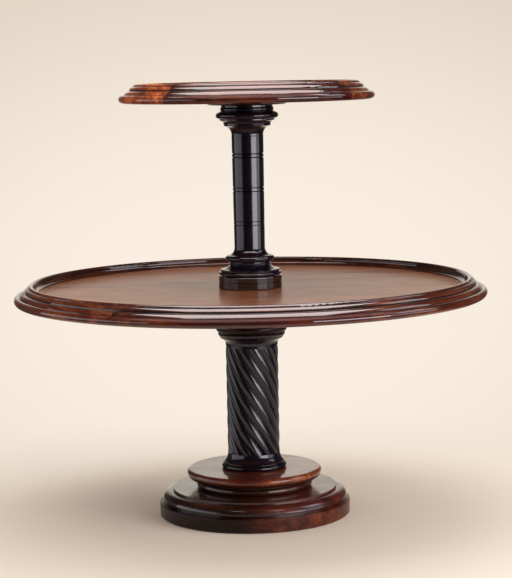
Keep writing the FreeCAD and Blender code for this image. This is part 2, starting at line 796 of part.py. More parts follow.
def base_mouldings():
    """Outline of the upper column's base: torus, lip, scotia, waist with a bead, knop and sweep."""
    lip_base, scotia_base, waist_base, waist_bead_top, knop_base, knop_top, sweep_top = stacked(
        "0", "base_torus_height", "base_lip_height", "base_scotia_height", "waist_bead_height",
        "waist_height", "knop_height", "sweep_height")
    return [
        corner("base_radius", "0"),
        bulge("base_torus_rise"),
        corner("base_radius", lip_base),
        corner("base_lip_radius - fine_groove", f"{lip_base} + fine_groove"),
        corner("base_lip_radius", f"{lip_base} + eased_edge + fine_groove"),
        corner("base_lip_radius", f"{scotia_base} - eased_edge"),
        corner("base_lip_radius - eased_edge", scotia_base),
        bulge("-base_scotia_hollow"),
        corner("waist_radius", waist_base),
        bulge("waist_bead_rise"),
        corner("waist_radius", waist_bead_top),
        corner("waist_radius", f"{knop_base} - eased_edge"),
        corner("knop_foot_radius", knop_base),
        bulge("knop_rise"),
        corner("knop_top_radius", knop_top),
        bulge("-sweep_hollow"),
        corner("shaft_foot_radius", sweep_top),
    ]


def head_mouldings(shaft_top):
    """Outline of the upper column's capital: bell, fillet, cove, band, ovolo, step, bead and neck."""
    bell_base, fillet_base, cove_base, band_base, ovolo_base, step_base, bead_base, neck_base, top = stacked(
        shaft_top, "bell_start", "bell_height", "head_fillet_height", "head_cove_height",
        "head_band_height", "head_ovolo_height", "head_step_height", "head_bead_height",
        "head_top_height")
    return [
        corner("shaft_head_radius", shaft_top),
        corner("shaft_head_radius", bell_base),
        bulge("-bell_hollow"),
        corner("bell_radius", fillet_base),
        corner("head_fillet_radius - eased_edge", f"{fillet_base} + fine_groove"),
        corner("head_fillet_radius", cove_base),
        bulge("-head_cove_hollow"),
        corner("head_band_radius - eased_edge", band_base),
        corner("head_band_radius", f"{band_base} + eased_edge"),
        corner("head_band_radius", f"{ovolo_base} - fine_groove"),
        corner("head_ovolo_radius", ovolo_base),
        bulge("head_ovolo_rise"),
        corner("head_ovolo_radius", step_base),
        corner("head_neck_radius", bead_base),
        bulge("head_bead_rise"),
        corner("head_neck_radius", neck_base),
        corner("head_neck_radius - fine_groove", f"{neck_base} + fine_groove"),
        corner("head_neck_radius - fine_groove", top),
    ]


def build_upper_column():
    """The plain ebonised upper column: spigot, moulded base, ringed shaft and capital."""
    shaft_top = f"{BASE_HEIGHT} + shaft_height"
    pin_hole = "pin_radius + glue_gap"
    pin_floor = f"{UPPER_COLUMN_HEIGHT} - pin_seat_depth"
    column = turned("upper_column", UPPER_COLUMN_BASE, [
        corner("0", f"-{SPIGOT_LENGTH}"),
        corner("spigot_radius - spigot_chamfer", f"-{SPIGOT_LENGTH}"),
        corner("spigot_radius", f"-{SPIGOT_LENGTH} + spigot_chamfer"),
        corner("spigot_radius", "0"),
        *base_mouldings(),
        *head_mouldings(shaft_top),
        corner(pin_hole, UPPER_COLUMN_HEIGHT),
        corner(pin_hole, pin_floor),
        corner("0", pin_floor),
    ])
    rings = []
    first_ring = f"{BASE_HEIGHT} + ring_pair_start"
    for index, height in enumerate((first_ring, first_ring + " + ring_pair_gap"), start=1):
        outside = "shaft_head_radius + ring_depth"
        rings.append(revolve(column, f"ring_{index}", [
            corner("shaft_foot_radius - ring_depth", height),
            corner(outside, f"{height} - ring_half_width"),
            corner(outside, f"{height} + ring_half_width"),
        ], kind="Groove"))
    pairs = column.newObject("PartDesign::LinearPattern", "ring_pairs")
    pairs.Originals = rings
    pairs.Direction = (origin_plane(column, "Z_Axis"), [""])
    pairs.Length = value("ring_pair_pitch * (ring_pair_count - 1)")
    pairs.setExpression("Length", linked("ring_pair_pitch * (ring_pair_count - 1)"))
    pairs.Occurrences = int(value("ring_pair_count"))
    pairs.setExpression("Occurrences", linked("ring_pair_count"))
    column.Tip = pairs
    doc.recompute()
    return column


def build_upper_tray():
    """Small tray on an iron pivot pin: board, rim arcs, the plate under them and its screws."""
    blind = "pin_bite + pin_relief"
    board = turned("upper_tray_board", UPPER_BOARD_BASE, board_outline("upper_tray_radius", PIN_BORE, blind))
    screw_holes(board, "plate_screw_circle", "tray_screw_count", "0", "tray_screw_bite + drill_margin", False)
    rim = build_rim("upper", "upper_tray_radius", "upper_segment_count", "upper_segment_start",
                    UPPER_BOARD_BASE)
    plate = turned("upper_tray_boss", PLATE_BASE, [
        corner(PIN_BORE, "0"),
        corner("plate_radius - plate_bevel", "0"),
        bulge("plate_bevel_rise"),
        corner("plate_radius", "plate_height"),
        corner(PIN_BORE, "plate_height"),
    ])
    screw_holes(plate, "plate_screw_circle", "tray_screw_count", "0", "plate_height", True)
    screws = wood_screws("upper_boss_screws", "plate_screw_circle", "tray_screw_count", PLATE_BASE,
                         PLATE_SCREW_LENGTH)
    return [board, *rim, plate, screws]


def build_pivot_pin():
    """Iron pin driven into the upper column, round which the upper tray turns."""
    length = "pin_seat_depth + upper_washer_height + running_gap + plate_height + pin_bite"
    return turned("upper_pivot_pin", f"{UPPER_COLUMN_TOP} - pin_seat_depth", [
        corner("0", "0"),
        corner("pin_radius - pin_chamfer", "0"),
        corner("pin_radius", "pin_chamfer"),
        corner("pin_radius", f"{length} - pin_chamfer"),
        corner("pin_radius - pin_chamfer", length),
        corner("0", length),
    ])


def build_all():
    """Every piece of the table, from the floor up."""
    return [
        *build_foot(),
        build_lower_column(),
        build_wedge(),
        washer("lower_bearing_washer", COLUMN_TOP, WASHER_BORE, "bearing_washer_radius",
               "bearing_washer_height"),
        *build_lower_tray(),
        build_collar(),
        washer("seat_washer", f"{COLLAR_TOP} + running_gap", WASHER_BORE, "seat_washer_radius",
               "seat_washer_height"),
        build_upper_column(),
        build_pivot_pin(),
        washer("upper_bearing_washer", UPPER_COLUMN_TOP, "pin_radius + washer_clearance",
               "upper_washer_radius", "upper_washer_height"),
        *build_upper_tray(),
    ]


def write_parts(pieces):
    for item in doc.Objects:
        if {"Invalid", "Error"} & set(item.State):
            raise RuntimeError(f"{item.Label} failed: {item.State}")
    os.makedirs("parts", exist_ok=True)
    for piece in pieces:
        if piece.Shape.isNull() or not piece.Shape.isValid():
            raise RuntimeError(f"{piece.Label} has no valid shape")
        piece.Shape.exportStep(f"parts/{piece.Label}.step")


write_parts(build_all())
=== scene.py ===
"""Looks of the two-tier revolving table: polished mahogany trays and foot, ebonised columns."""
import math

import bpy
from mathutils import Matrix, Vector


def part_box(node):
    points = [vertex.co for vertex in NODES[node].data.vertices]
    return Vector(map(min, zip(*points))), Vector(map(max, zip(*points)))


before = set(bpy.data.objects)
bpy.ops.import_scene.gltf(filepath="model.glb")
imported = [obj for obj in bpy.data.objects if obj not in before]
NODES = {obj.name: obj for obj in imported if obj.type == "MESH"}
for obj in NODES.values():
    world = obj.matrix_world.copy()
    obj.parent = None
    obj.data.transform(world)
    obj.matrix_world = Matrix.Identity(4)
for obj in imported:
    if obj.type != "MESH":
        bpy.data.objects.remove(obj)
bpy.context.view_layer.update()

MM = 0.001

# Camera, fitted to the photograph's rims, foot and columns: its place and clipping distances in
# metres, its angles in degrees, its focal length in pixels and its sensor in millimetres. The
# picture is 512 x 578 pixels, so the sensor's size is that of the picture's height.
CAMERA_PLACE = (0.006886, -2.4400, 0.5707)
CAMERA_PITCH = 6.590
CAMERA_ROLL = -1.189
CAMERA_CLIP = (0.1, 50.0)
FOCAL_PIXELS = 1927.86
IMAGE_HEIGHT = 578
SENSOR = 36.0

# Colours, as linear light.
MAHOGANY_DARK = (0.024, 0.0044, 0.0022)
MAHOGANY_MID = (0.112, 0.0205, 0.0072)
MAHOGANY_LIGHT = (0.330, 0.0950, 0.0240)
PORE_BROWN = (0.012, 0.0045, 0.0030)
# The next colour is the dark of old wax in joints and grooves, and also the painted shade under the
# cap's edge.
WAX_AND_SHADE_DARK = (0.0060, 0.0026, 0.0020)
EBONY = (0.0050, 0.0024, 0.0082)
EBONY_WORN = (0.022, 0.0095, 0.0130)
LEATHER_DARK = (0.030, 0.014, 0.008)
LEATHER_LIGHT = (0.130, 0.062, 0.030)
IRON_GREY = (0.115, 0.108, 0.100)
RUST_BROWN = (0.070, 0.032, 0.015)
FLOOR_COLOUR = (0.870, 0.790, 0.700)
BACKDROP_CENTRE = (0.952, 0.855, 0.750)
BACKDROP_EDGE = (0.720, 0.620, 0.510)
EVEN_LIGHT = (0.56, 0.53, 0.485)
MIRRORED_PALE = (0.92, 0.84, 0.73)
MIRRORED_DARK = (0.012, 0.010, 0.010)
DAYLIGHT = (0.95, 0.92, 1.0)
WARM_WHITE = (1.0, 0.97, 0.93)
PINKISH_WHITE = (1.0, 0.91, 0.89)

# The arcs of each rim: where the first begins, in degrees, and how many there are. They are
# numbered from 0, anticlockwise as seen from above.
LOWER_RIM = {"start": 297.0, "count": 6}
UPPER_RIM = {"start": 322.0, "count": 4}

# The tints of the arcs that differ, by number: the colour that multiplies the wood's, and its
# share where the arc begins. The share reaches 1 at the fraction of the arc's length given below.
# The tints are partly the arcs' own stains and partly painted light and shade.
# The back tint is painted shade; the red tint is partly stain and partly painted shade; the orange
# tint is partly stain and partly painted light.
RED_STAIN_AND_SHADE = (0.42, 0.16, 0.13)
BACK_PAINTED_SHADE = (0.30, 0.24, 0.24)
ORANGE_STAIN_AND_LIGHT = (3.60, 3.70, 3.20)
# On the lower rim the right and back arcs are darkened as painted shade, the left arc is paled as
# painted light, and the front arc's deep red is partly painted shade.
LOWER_RIM_STAINS_AND_PAINTED_LIGHT = {
    0: ((0.55, 0.42, 0.38), 1.0),
    1: (BACK_PAINTED_SHADE, 1.0),
    2: (BACK_PAINTED_SHADE, 1.0),
    3: ((0.36, 0.30, 0.30), 1.0),
    4: ((1.10, 1.05, 1.00), 1.0),
    5: (RED_STAIN_AND_SHADE, 0.55),
}
# On the upper rim the orange left arc is partly painted light, and the deep red front arc is partly
# painted shade.
UPPER_RIM_STAINS_AND_PAINTED_LIGHT = {2: (ORANGE_STAIN_AND_LIGHT, 1.0), 3: (RED_STAIN_AND_SHADE, 0.60)}
TINT_WHOLE = 0.7

# How far the grain's coordinates shift from one arc to the next, in metres, so that each arc has
# a figure of its own.
ARC_SHIFT = 3.71

# Old wax in the joints between arcs. It thins out between these shares of an arc's length.
JOINT_WAX = (0.0010, 0.0024)

# Grooves of a rim's moulding where old wax settles: inset from the edge and height, in
# millimetres. The wax thins out between the two distances from a groove.
RIM_GROOVES = ((7.0, 10.2), (14.0, 16.4), (18.5, 20.5), (25.7, 20.2), (31.0, 13.6))
GROOVE_WAX = (0.5, 1.7)

# How far old wax hides the wood in a joint and in a groove, how far painted shade darkens the cap's
# neck under its edge, and the wax's roughness.
JOINT_COVER = 0.9
GROOVE_COVER = 0.93
NECK_SHADE_COVER = 0.78
WAX_ROUGHNESS = 0.7

# The front of a rim's outermost swelling is rubbed dull, outside this inset and above this height.
# It sets in over two bands, inwards and upwards. All of these are in millimetres. Along Y it is
# whole in front of the first of two shares of the radius and gone behind the second. RUBBED_COAT
# is the share of the coat that is left.
RUBBED_INSET = 5.2
RUBBED_HEIGHT = 6.4
RUBBED_BANDS = (1.2, 1.4)
RUBBED_FRONT = (-0.96, -0.80)
RUBBED_COAT = 0.03

# Where along X the foot's discs turn from their painted shade on the left to their painted light on
# the right, in metres.
SIDE_LIGHT_SPAN = (-25 * MM, 45 * MM)

# Noise scales, per metre, of what doesn't follow the grain, and depths of all relief, in metres.
GLOSS_PATCHES = 21.0
COAT_WAVES, WAVE_DEPTH = 38.0, 0.4 * MM
EBONY_PATCHES = 24.0
EBONY_WAVES, EBONY_WAVE_DEPTH = 60.0, 0.3 * MM
LEATHER_GRAIN, LEATHER_DEPTH = 900.0, 0.2 * MM
RUST_PATCHES, RUST_DEPTH = 700.0, 0.1 * MM
PORE_DEPTH = 0.15 * MM
EBONY_PORE_DEPTH = 0.12 * MM

# How the mahogany of each piece differs from the plain one. The words are those of mahogany().
RIM = {"light": 0.85, "fleck": 0.10, "ripple": 0.02, "coat_roughness": 0.05, "coat_ior": 1.6,
       "body_specular": 0.1}
BOARD = {"light": 0.9, "shade": (1.00, 1.06, 1.14), "lift": 0.135, "coat": 0.30,
         "coat_roughness": 0.15, "body_specular": 0.5, "dull": (0.42, 0.48)}
# Painted shade and light on the plinth and on the ring below: their low shade is partly painted
# shade under the trays, and their casts darken their left and lighten their right as the light
# falls.
PLINTH = {"light": 0.6, "shade": (0.31, 0.31, 0.31), "coat": 0.20, "coat_roughness": 0.20,
          "body_specular": 0.15, "dull": (0.26, 0.36),
          "painted_side_light": ((0.32, 0.32, 0.38), (2.6, 2.5, 2.7))}
RING = {"light": 0.6, "shade": (0.40, 0.40, 0.40), "coat_roughness": 0.12, "body_specular": 0.3,
        "painted_side_light": ((0.45, 0.42, 0.50), (1.7, 1.0, 0.8))}
# Painted light and shade on the cap: darker on its left and lighter on its right as the light
# falls, and darkened below its edge as painted shade.
CAP = {"light": 0.8, "shade": (1.15, 1.10, 1.05), "lift": 0.04,
       "painted_side_light": ((0.65, 0.58, 0.62), (1.05, 0.95, 0.90)), "shaded_below": (50 * MM, 55 * MM)}
WEDGE = {"light": 0.7}
BOSS = {"light": 0.5, "shade": (0.15, 0.15, 0.15), "coat": 0.20, "body_specular": 0.1}
COLLAR = {"light": 0.3, "shade": (0.09, 0.09, 0.09), "coat_ior": 1.7, "body_specular": 0.1}

# Floor, in metres: its half width, how far it lies below the foot, how far its middle lies in front
# of the table, the distances from there between which it fades into the backdrop, and the radii
# round the axis between which it sets in under the foot.
FLOOR_REACH = 3.0
FLOOR_DROP = 0.3 * MM
FLOOR_FORWARD = 0.12
FLOOR_FADE = (0.32, 0.85)
UNDER_FOOT = (0.110, 0.116)

# The backdrop is palest in this direction, darkens between the two distances from it, and is
# stretched sideways, because X counts for less.
BACKDROP_AIM = (0.0, 0.99, -0.12)
BACKDROP_FADE = (0.04, 0.23)
BACKDROP_SIDEWAYS = 0.6

# The pale patch that the polish mirrors, by direction: where it begins and ends along Y, along Z
# and sideways, and its strength at those two ends.
PATCH_BEHIND = (0.25, 0.75, 0.035, 1.0)
PATCH_LOW = (0.22, 0.62, 1.0, 0.06)
PATCH_MIDDLE = (0.12, 0.40, 1.0, 0.05)

# Lamps that give light but aren't mirrored: name, place, aim, width and height in metres, radiance.
LIGHTS = (
    ("right_light", (1.50, -0.80, 0.85), (0, 0, 0.80), 1.60, 1.60, 3.7),
    ("top_light", (-0.15, -0.05, 1.95), (-0.10, -0.20, 0.30), 1.60, 1.10, 2.2),
    ("left_light", (-1.63, 0.50, 0.75), (0, 0, 0.45), 1.50, 1.20, 0.8),
)

# Lamps that the polish mirrors but that give no light, with a colour at the end.
SHEENS = (
    ("right_sheen", (1.23, -1.24, 0.29), (0, 0, 0.29), 1.15, 0.54, 7.0, DAYLIGHT),
    ("right_edge_sheen", (1.70, -0.42, 0.29), (0, 0, 0.29), 0.90, 0.54, 2.0, DAYLIGHT),
    ("left_sheen", (-1.66, -0.35, 0.36), (0, 0, 0.36), 2.20, 0.80, 1.3, DAYLIGHT),
    ("right_high_sheen", (1.85, -0.10, 1.45), (0.2, 0, 0.30), 0.90, 0.80, 3.0, DAYLIGHT),
    ("top_sheen", (0.05, -0.42, 1.10), (0.05, -0.42, 0.30), 1.20, 0.90, 8.2, PINKISH_WHITE),
)


class Graph:
    """A node tree, with one short call for each kind of node."""

    def __init__(self, tree):
        self.tree = tree
        self.tree.nodes.clear()

    def add(self, kind, inputs=None, **settings):
        made = self.tree.nodes.new(kind)
        for key, setting in settings.items():
            setattr(made, key, setting)
        for socket, source in (inputs or {}).items():
            self.feed(made.inputs[socket], source)
        return made

    def feed(self, socket, source):
        """Links a socket to another one, or gives it a plain value."""
        if isinstance(source, bpy.types.NodeSocket):
            self.tree.links.new(source, socket)
        else:
            socket.default_value = source

    def maths(self, operation, *values):
        made = self.add("ShaderNodeMath", dict(enumerate(values)), operation=operation)
        return made.outputs[0]

    def smooth(self, value, low, high, start=0.0, end=1.0):
        """A smooth step from start to end while value goes from low to high."""
        made = self.add("ShaderNodeMapRange", dict(enumerate((value, low, high, start, end))),
                        interpolation_type="SMOOTHSTEP")
        return made.outputs[0]

    def mix(self, factor, first, second, blend="MIX"):
        made = self.add("ShaderNodeMix", {0: factor}, data_type="RGBA", blend_type=blend)
        for socket, source in ((made.inputs[6], first), (made.inputs[7], second)):
            linked = isinstance(source, bpy.types.NodeSocket)
            self.feed(socket, source if linked else (*source, 1.0))
        return made.outputs[2]

    def tint(self, colour, tint_colour):
        """A colour multiplied by another."""
        return self.mix(1.0, colour, tint_colour, blend="MULTIPLY")

    def noise(self, place, scale, detail, roughness=0.55, distortion=0.0):
        made = self.add("ShaderNodeTexNoise", {
            "Vector": place, "Scale": scale, "Detail": detail, "Roughness": roughness,
            "Distortion": distortion})
        return made.outputs["Fac"]

    def grain_noise(self, wood, along, across, **settings):
        """Noise in a piece's wood, with its scale along the grain and across it."""
        stretched = self.mapped(wood, scale=(along, across, across))
        return self.noise(stretched, 1.0, **settings)

    def place(self):
        return self.add("ShaderNodeTexCoord").outputs["Object"]

    def mapped(self, vector, scale=(1, 1, 1), turn=0.0, shift=(0, 0, 0)):
        made = self.add("ShaderNodeMapping", {
            "Vector": vector, "Location": shift, "Rotation": (0, 0, turn), "Scale": scale})
        return made.outputs[0]

    def split(self, vector):
        made = self.add("ShaderNodeSeparateXYZ", {"Vector": vector})
        return made.outputs[0], made.outputs[1], made.outputs[2]

    def join(self, x, y, z):
        return self.add("ShaderNodeCombineXYZ", {"X": x, "Y": y, "Z": z}).outputs[0]

    def reach(self, across, along):
        """The length of the hypotenuse over two sides."""
        squares = [self.maths("MULTIPLY", side, side) for side in (across, along)]
        return self.maths("SQRT", self.maths("ADD", *squares))

    def radius_and_height(self):
        x, y, z = self.split(self.place())
        return self.reach(x, y), z

    def bump(self, height, strength, distance):
        made = self.add("ShaderNodeBump", {
            "Strength": strength, "Distance": distance, "Height": height})
        return made.outputs[0]

    def finish(self, shader, **inputs):
        """Feeds the shader's last inputs, with _ for a space in their names, and shows it."""
        for name, source in inputs.items():
            self.feed(shader.inputs[name.replace("_", " ")], source)
        output = self.add("ShaderNodeOutputMaterial")
        self.tree.links.new(shader.outputs[0], output.inputs["Surface"])


def new_material(name):
    material = bpy.data.materials.new(name)
    material.use_nodes = True
    return material, Graph(material.node_tree)


def plank_grain(graph, turn, seed):
    """Coordinates of one solid plank whose grain runs along X, turned about the axis."""
    shift = (seed * 1.7, seed * 0.9, seed * 0.37)
    return graph.mapped(graph.place(), turn=math.radians(turn), shift=shift)


def upright_grain(graph, seed):
    """Coordinates of a turned post: its grain runs along the axis."""
    x, y, z = graph.split(graph.place())
    return graph.join(graph.maths("ADD", z, seed * 1.3), x, y)


def arc_place(graph, start, count):
    """Which arc of a rim a point is on, and how far it is round that arc, from 0 to 1."""
    x, y, _z = graph.split(graph.place())
    angle = graph.maths("ARCTAN2", y, x)
    turned = graph.maths("ADD", angle, 2 * math.tau - math.radians(start))
    position = graph.maths("DIVIDE", graph.maths("MODULO", turned, math.tau), math.tau / count)
    number = graph.maths("FLOOR", position)
    return number, graph.maths("SUBTRACT", position, number)


def arc_grain(graph, start, count):
    """Coordinates of each arc of a rim: its straight grain runs along the arc's own chord."""
    number, inside = arc_place(graph, start, count)
    local = graph.maths("MULTIPLY", graph.maths("SUBTRACT", inside, 0.5), math.tau / count)
    radius, z = graph.radius_and_height()
    along = graph.maths("MULTIPLY", radius, graph.maths("SINE", local))
    across = graph.maths("MULTIPLY", radius, graph.maths("COSINE", local))
    shift = graph.maths("MULTIPLY", number, ARC_SHIFT)
    return graph.join(graph.maths("ADD", along, shift), graph.maths("ADD", across, shift), z)


def tint_arcs(graph, colour, arcs, tints):
    """Tints the arcs of a rim that differ, partly as they were stained and partly with painted
    light and shade, and darkens the joints between arcs with old wax.
    """
    number, inside = arc_place(graph, **arcs)
    for index, (tint_colour, begin) in tints.items():
        share = graph.maths("MULTIPLY", graph.maths("COMPARE", number, index, 0.1),
                            graph.smooth(inside, 0.0, TINT_WHOLE, begin, 1.0))
        colour = graph.mix(share, colour, graph.tint(colour, tint_colour))
    edge = graph.maths("MINIMUM", inside, graph.maths("SUBTRACT", 1.0, inside))
    return graph.mix(graph.smooth(edge, *JOINT_WAX, JOINT_COVER, 0.0), colour, WAX_AND_SHADE_DARK)


def groove_wax(graph, grooves):
    """How much wax there is: 1 in any of the grooves, each a radius and a height in metres."""
    near, far = (distance * MM for distance in GROOVE_WAX)
    radius, z = graph.radius_and_height()
    wax = 0.0
    for groove_radius, groove_height in grooves:
        distance = graph.reach(graph.maths("SUBTRACT", radius, groove_radius),
                               graph.maths("SUBTRACT", z, groove_height))
        wax = graph.maths("MAXIMUM", wax, graph.smooth(distance, near, far, 1.0, 0.0))
    return wax


def rubbed_coat(graph, coat, edge, lowest):
    """The coat of a rim, less what is rubbed off outside the edge, above lowest, at the front."""
    inwards, upwards = (band * MM for band in RUBBED_BANDS)
    radius, z = graph.radius_and_height()
    _x, y, _z = graph.split(graph.place())
    rubbed = graph.maths("MULTIPLY", graph.smooth(radius, edge - inwards, edge),
                         graph.smooth(z, lowest, lowest + upwards))
    whole, none = (share * edge for share in RUBBED_FRONT)
    rubbed = graph.maths("MULTIPLY", rubbed, graph.smooth(y, whole, none, 1.0, 0.0))
    return graph.smooth(rubbed, 0.0, 1.0, coat, RUBBED_COAT * coat)


def figure(graph, wood, light, lift, fleck):
    """The colour of unstained mahogany, with the fine lines and pores that roughen it. Each smooth
    step picks the part of a layer's range that shows."""
    broad = graph.grain_noise(wood, 2.0, 17, detail=3, distortion=0.6)
    ribbons = graph.grain_noise(wood, 2.6, 74, detail=4, roughness=0.6, distortion=0.35)
    streaks = graph.grain_noise(wood, 9, 260, detail=5, roughness=0.62, distortion=0.3)
    fine = graph.grain_noise(wood, 40, 900, detail=3)
    flecks = graph.grain_noise(wood, 95, 430, detail=3, distortion=0.5)
    pores = graph.grain_noise(wood, 160, 2600, detail=2)
    tone = graph.maths("MULTIPLY", broad, 0.28)
    for layer, share in ((ribbons, 0.44), (streaks, 0.28)):
        tone = graph.maths("MULTIPLY_ADD", layer, share, tone)
    tone = graph.maths("ADD", tone, lift)
    colour = graph.mix(graph.smooth(tone, 0.37, 0.51), MAHOGANY_DARK, MAHOGANY_MID)
    colour = graph.mix(graph.smooth(tone, 0.48, 0.64, 0.0, light), colour, MAHOGANY_LIGHT)
    colour = graph.mix(graph.smooth(fine, 0.50, 0.72, 0.0, 0.45), colour, MAHOGANY_DARK)
    flecked = graph.maths("MULTIPLY", graph.smooth(flecks, 0.54, 0.70),
                          graph.smooth(broad, 0.40, 0.60, 0.15, fleck))
    colour = graph.mix(flecked, colour, PORE_BROWN)
    colour = graph.mix(graph.smooth(pores, 0.62, 0.70, 0.0, 0.8), colour, PORE_BROWN)
    return colour, fine, pores


def mahogany(name, grain, light=1.0, shade=(1.0, 1.0, 1.0), lift=0.0, fleck=0.35, ripple=0.35,
             coat=1.0, coat_roughness=0.08, coat_ior=1.5, body_specular=0.2, dull=(0.30, 0.46),
             rim=None, painted_side_light=None, shaded_below=None):
    """French-polished mahogany: broad figure, streaks and pores under a glossy coat.

    light: share of the palest colour in the figure. shade: colour that multiplies the wood's.
    lift: makes the figure paler. fleck, ripple: strength of the dark flecks and of the coat's
    waves. coat to coat_ior: the polish. body_specular, dull: shine of the wood under it, and the
    range of that wood's roughness. rim: arcs, tints, grooves and rubbed edge of a rim; the tints
    are partly how the arcs were stained and partly painted light and shade. painted_side_light:
    painted shade on the left of a disc and painted light on its right. shaded_below: heights
    between which the painted shade below them thins out.
    """
    material, graph = new_material(name)
    colour, fine, pores = figure(graph, grain(graph), light, lift, fleck)
    colour = graph.tint(colour, shade)
    gloss = graph.smooth(graph.noise(graph.place(), GLOSS_PATCHES, detail=5), 0.35, 0.7, *dull)
    if rim:
        colour = tint_arcs(graph, colour, rim["arcs"], rim["tints"])
        wax = groove_wax(graph, rim["grooves"])
        colour = graph.mix(graph.maths("MULTIPLY", wax, GROOVE_COVER), colour, WAX_AND_SHADE_DARK)
        gloss = graph.maths("MAXIMUM", gloss, graph.maths("MULTIPLY", wax, WAX_ROUGHNESS))
        coat = rubbed_coat(graph, coat, *rim["rubbed"])
    # Painted light and shade: the disc is darker on its left and lighter on its right, as the light
    # falls from the right.
    if painted_side_light:
        x, _y, _z = graph.split(graph.place())
        colour = graph.tint(colour, graph.mix(graph.smooth(x, *SIDE_LIGHT_SPAN), *painted_side_light))
    # Painted shade: the wood below the cap's edge is darkened where shade falls under it.
    if shaded_below:
        _x, _y, z = graph.split(graph.place())
        colour = graph.mix(graph.smooth(z, *shaded_below, NECK_SHADE_COVER, 0.0), colour, WAX_AND_SHADE_DARK)
    height = graph.maths("ADD", graph.smooth(pores, 0.60, 0.70, 0.0, -1.0),
                         graph.maths("MULTIPLY", fine, 0.3))
    wavy = graph.noise(graph.place(), COAT_WAVES, detail=2)
    shader = graph.add("ShaderNodeBsdfPrincipled", {
        "Coat Weight": coat, "Coat Roughness": coat_roughness, "Coat IOR": coat_ior,
        "Specular IOR Level": body_specular})
    graph.finish(shader, Base_Color=colour, Roughness=gloss,
                 Normal=graph.bump(height, 0.25, PORE_DEPTH),
                 Coat_Normal=graph.bump(wavy, ripple, WAVE_DEPTH))
    return material


def ebonised(name, seed):
    """Ebonised and polished wood: black, with a faint brown where the black is thin."""
    material, graph = new_material(name)
    wood = upright_grain(graph, seed)
    streaks = graph.grain_noise(wood, 9, 160, detail=5)
    pores = graph.grain_noise(wood, 120, 2200, detail=2)
    thin = graph.noise(graph.place(), EBONY_PATCHES, detail=6, roughness=0.65)
    wavy = graph.noise(graph.place(), EBONY_WAVES, detail=3)
    wear = graph.maths("ADD", graph.maths("MULTIPLY", streaks, 0.4),
                       graph.maths("MULTIPLY", thin, 0.6))
    colour = graph.mix(graph.smooth(wear, 0.50, 0.70, 0.0, 0.45), EBONY, EBONY_WORN)
    shader = graph.add("ShaderNodeBsdfPrincipled", {
        "Coat Weight": 1.0, "Coat Roughness": 0.14, "Coat IOR": 1.5, "Specular IOR Level": 0.1})
    pitted = graph.smooth(pores, 0.55, 0.7, 0.0, -1.0)
    graph.finish(shader, Base_Color=colour, Roughness=graph.smooth(thin, 0.35, 0.7, 0.22, 0.38),
                 Normal=graph.bump(pitted, 0.3, EBONY_PORE_DEPTH),
                 Coat_Normal=graph.bump(wavy, 0.25, EBONY_WAVE_DEPTH))
    return material


def leather():
    """Brown leather with a fine grain, for the washers."""
    material, graph = new_material("washer_leather")
    grain = graph.noise(graph.place(), LEATHER_GRAIN, detail=5)
    shader = graph.add("ShaderNodeBsdfPrincipled")
    graph.finish(shader, Base_Color=graph.mix(grain, LEATHER_DARK, LEATHER_LIGHT),
                 Roughness=graph.smooth(grain, 0.3, 0.7, 0.6, 0.85),
                 Normal=graph.bump(grain, 0.5, LEATHER_DEPTH))
    return material


def iron():
    """Dull grey iron with rust in patches, for the screws and the pin."""
    material, graph = new_material("dull_iron")
    rust = graph.noise(graph.place(), RUST_PATCHES, detail=6, roughness=0.7)
    shader = graph.add("ShaderNodeBsdfPrincipled", {"Metallic": 1.0})
    graph.finish(shader, Base_Color=graph.mix(graph.smooth(rust, 0.45, 0.7), IRON_GREY, RUST_BROWN),
                 Roughness=graph.smooth(rust, 0.3, 0.7, 0.38, 0.7),
                 Normal=graph.bump(rust, 0.4, RUST_DEPTH))
    return material


def dress(nodes, material):
    """Gives the nodes this material and no other."""
    for node in nodes:
        piece = NODES[node]
        piece.data.materials.clear()
        piece.data.materials.append(material)


def dress_rims():
    """The mouldings round both trays, in arcs that differ in how they were stained and in painted
    light and shade, with wax in the grooves.
    """
    for tier, arcs, tints, widest in (
            ("lower", LOWER_RIM, LOWER_RIM_STAINS_AND_PAINTED_LIGHT, "lower_rim_segment_3"),
            ("upper", UPPER_RIM, UPPER_RIM_STAINS_AND_PAINTED_LIGHT, "upper_rim_segment_1")):
        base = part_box(f"{tier}_tray_board")[0][2]
        edge = max(abs(side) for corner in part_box(widest) for side in corner[:2])
        rim = {
            "arcs": arcs,
            "tints": tints,
            "grooves": [(edge - inset * MM, base + height * MM) for inset, height in RIM_GROOVES],
            "rubbed": (edge - RUBBED_INSET * MM, base + RUBBED_HEIGHT * MM),
        }
        wood = mahogany(f"{tier}_rim_mahogany", lambda g, arcs=arcs: arc_grain(g, **arcs),
                        rim=rim, **RIM)
        dress([f"{tier}_rim_segment_{index + 1}" for index in range(arcs["count"])], wood)


def dress_mahogany():
    """The boards, the foot, the wedge, the bosses and the collar, each with a grain of its own."""
    pieces = (
        ("lower_board", lambda g: plank_grain(g, 0, 1), BOARD, ["lower_tray_board"]),
        ("upper_board", lambda g: plank_grain(g, 8, 2), BOARD, ["upper_tray_board"]),
        ("plinth", lambda g: plank_grain(g, 20, 3), PLINTH, ["foot_plinth"]),
        ("ring", lambda g: plank_grain(g, -12, 4), RING, ["foot_ring"]),
        ("cap", lambda g: plank_grain(g, 5, 5), CAP, ["foot_cap"]),
        ("wedge", lambda g: upright_grain(g, 6), WEDGE, ["column_wedge"]),
        ("boss", lambda g: plank_grain(g, 40, 7), BOSS, ["lower_tray_boss", "upper_tray_boss"]),
        ("collar", lambda g: upright_grain(g, 8), COLLAR, ["lower_tray_collar"]),
    )
    for name, grain, settings, nodes in pieces:
        dress(nodes, mahogany(f"{name}_mahogany", grain, **settings))


